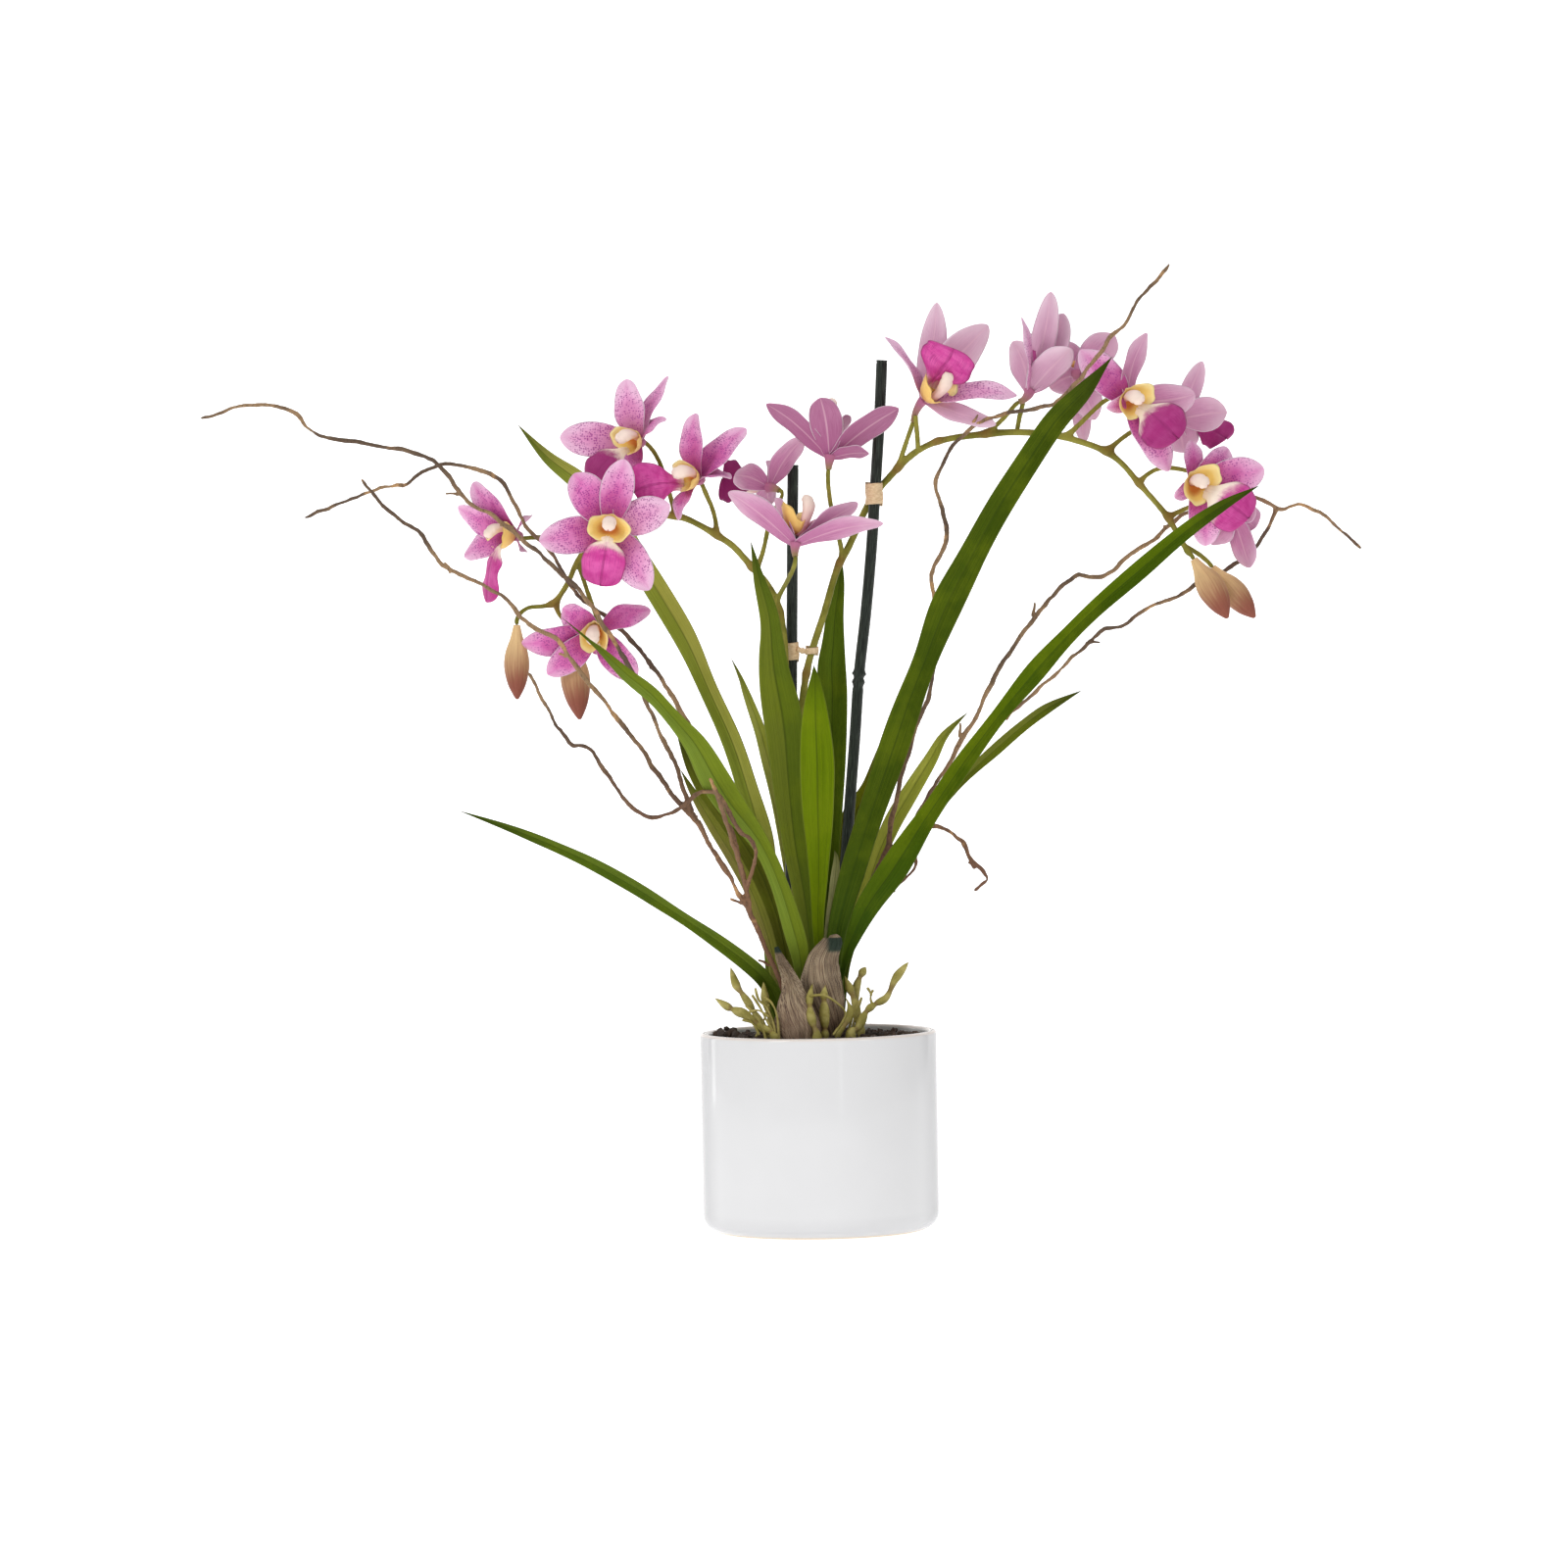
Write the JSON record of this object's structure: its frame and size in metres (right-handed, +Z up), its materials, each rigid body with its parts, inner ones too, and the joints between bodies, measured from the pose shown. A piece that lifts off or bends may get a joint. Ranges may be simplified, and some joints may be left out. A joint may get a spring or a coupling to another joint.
{
  "type": "potted cymbidium orchid",
  "caption": "Cymbidium orchid with arching flower spikes, strap leaves, curly twigs and dark stakes, planted in a plain white glazed pot",
  "frame": {"origin": "centre of the pot's flat foot, on the surface it stands on", "axes": "+Z up out of the pot, +X to the right of someone who looks at the front, where the flower spikes spread left and right, +Y away from them"},
  "size_m": [0.7127, 0.21, 0.5875],
  "materials": {
    "glazed_pot": "gloss",
    "soil": "matte",
    "bulb_husk": "matte",
    "bamboo_stake": "satin",
    "twig_bark": "matte",
    "leaf": "satin",
    "stem": "satin",
    "petal": "satin",
    "bud": "satin",
    "root": "satin",
    "raffia": "matte"
  },
  "bodies": {
    "root": {"pot": "glazed_pot", "soil": "soil", "pseudobulb_right": "bulb_husk", "pseudobulb_left": "bulb_husk", "stake_left": "bamboo_stake", "stake_right": "bamboo_stake", "curly_twig_left": "twig_bark", "curly_twig_right": "twig_bark", "leaf_low_left": "leaf", "leaf_front_left": "leaf", "leaf_rear_left": "leaf", "leaf_short_dark": "leaf", "leaf_hidden_left": "leaf", "leaf_narrow_left": "leaf", "leaf_tall_left": "leaf", "leaf_front_centre": "leaf", "leaf_tall_right": "leaf", "leaf_olive_rear": "leaf", "leaf_long_right": "leaf", "leaf_low_right": "leaf", "leaf_short_right": "leaf", "leaf_thin_right": "leaf", "leaf_inner_blade": "leaf", "flower_spike_left": "stem", "flower_spike_right": "stem", "flower_left_1": "petal", "flower_left_2": "petal", "flower_left_3": "petal", "flower_left_4": "petal", "flower_left_5": "petal", "flower_left_6": "petal", "flower_left_7": "petal", "flower_right_1": "petal", "flower_right_2": "petal", "flower_right_3": "petal", "flower_right_4": "petal", "flower_right_5": "petal", "flower_right_6": "petal", "flower_right_7": "petal", "flower_right_8": "petal", "bud_left_1": "bud", "bud_left_2": "bud", "bud_right_1": "bud", "bud_right_2": "bud", "aerial_root_1": "root", "aerial_root_2": "root", "aerial_root_3": "root", "aerial_root_4": "root", "aerial_root_5": "root", "aerial_root_6": "root", "aerial_root_7": "root", "aerial_root_8": "root", "aerial_root_9": "root", "raffia_tie_right": "raffia", "raffia_tie_left": "raffia"}
  },
  "joints": []
}
